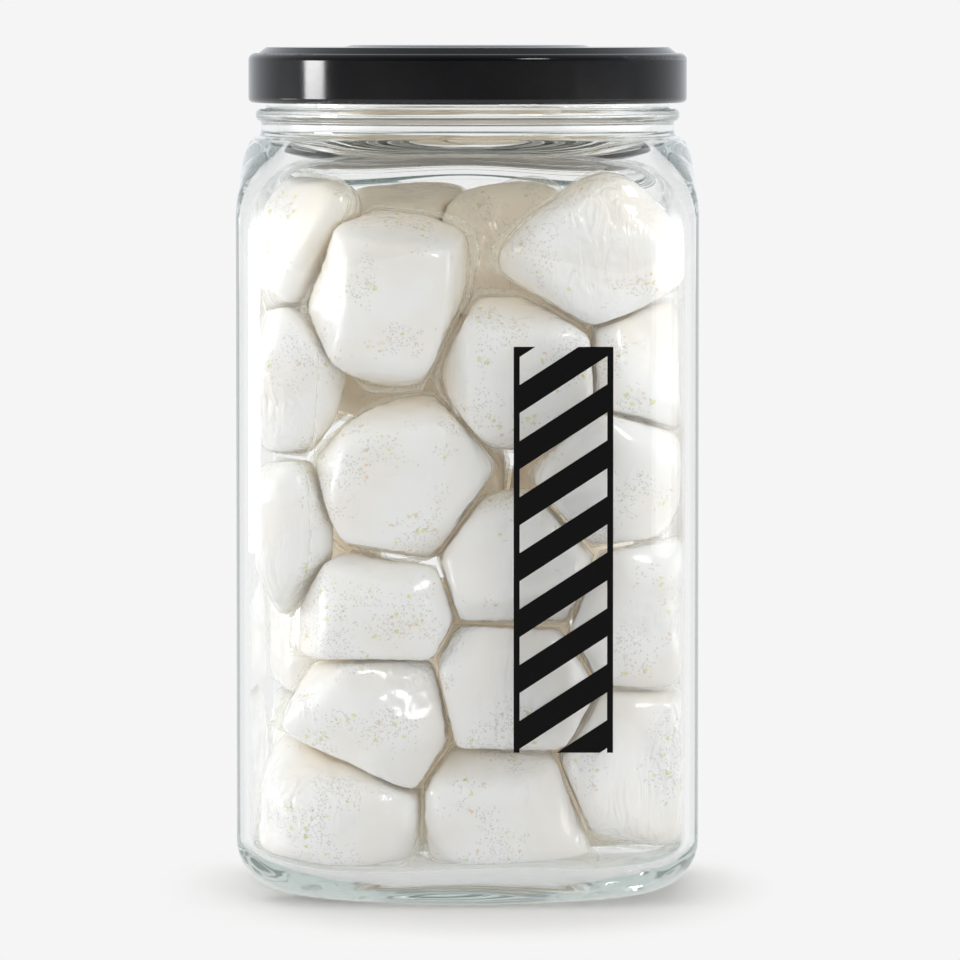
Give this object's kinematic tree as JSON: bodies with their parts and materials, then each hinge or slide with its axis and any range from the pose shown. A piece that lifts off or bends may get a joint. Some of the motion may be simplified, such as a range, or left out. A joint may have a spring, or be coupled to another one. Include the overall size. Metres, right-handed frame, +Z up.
{
  "type": "glass detergent jar",
  "caption": "Square clear glass storage jar with a round neck and black lug lid, filled with film-wrapped laundry powder doses, plain striped print on the front.",
  "frame": {"origin": "centre of the base on the surface the jar stands on", "axes": "+Z up through the lid, the printed front wall faces -Y, +X is to the right of someone facing the print"},
  "size_m": [0.108, 0.1081, 0.1998],
  "materials": {
    "glass": "clear soda-lime glass, polished",
    "lid_lacquer": "gloss black lacquer on tinplate",
    "seal": "matte grey sealing compound",
    "ink": "satin black screen print",
    "dose_film": "white powder in clear glossy film"
  },
  "bodies": {
    "jar": {"jar": "glass", "print_band": "ink", "dose_01": "dose_film", "dose_02": "dose_film", "dose_03": "dose_film", "dose_04": "dose_film", "dose_05": "dose_film", "dose_06": "dose_film", "dose_07": "dose_film", "dose_08": "dose_film", "dose_09": "dose_film", "dose_10": "dose_film", "dose_11": "dose_film", "dose_12": "dose_film", "dose_13": "dose_film", "dose_14": "dose_film", "dose_15": "dose_film", "dose_16": "dose_film", "dose_17": "dose_film", "dose_18": "dose_film", "dose_19": "dose_film", "dose_20": "dose_film", "dose_21": "dose_film", "dose_22": "dose_film", "dose_23": "dose_film", "dose_24": "dose_film", "dose_25": "dose_film", "dose_26": "dose_film", "dose_27": "dose_film", "dose_28": "dose_film", "dose_29": "dose_film", "dose_30": "dose_film", "dose_31": "dose_film", "dose_32": "dose_film", "dose_33": "dose_film", "dose_34": "dose_film", "dose_35": "dose_film", "dose_36": "dose_film", "dose_37": "dose_film", "dose_38": "dose_film", "dose_39": "dose_film", "dose_40": "dose_film", "dose_41": "dose_film", "dose_42": "dose_film"},
    "liner": {"lid_liner": "seal"},
    "lid": {"lid": "lid_lacquer"}
  },
  "joints": [
    {"name": "lid_rise", "type": "slide", "parent": "jar", "child": "liner", "axis": [0, 0, 1], "range_m": [0, 0.0201]},
    {"name": "lid_turn", "type": "hinge", "parent": "liner", "child": "lid", "pos_m": [0, 0, 0.19], "axis": [0, 0, 1], "range_deg": [0, 300]}
  ],
  "couplings": [
    {"joint": "lid_rise", "follows": "lid_turn", "m_per_rad": 0.0038197}
  ]
}
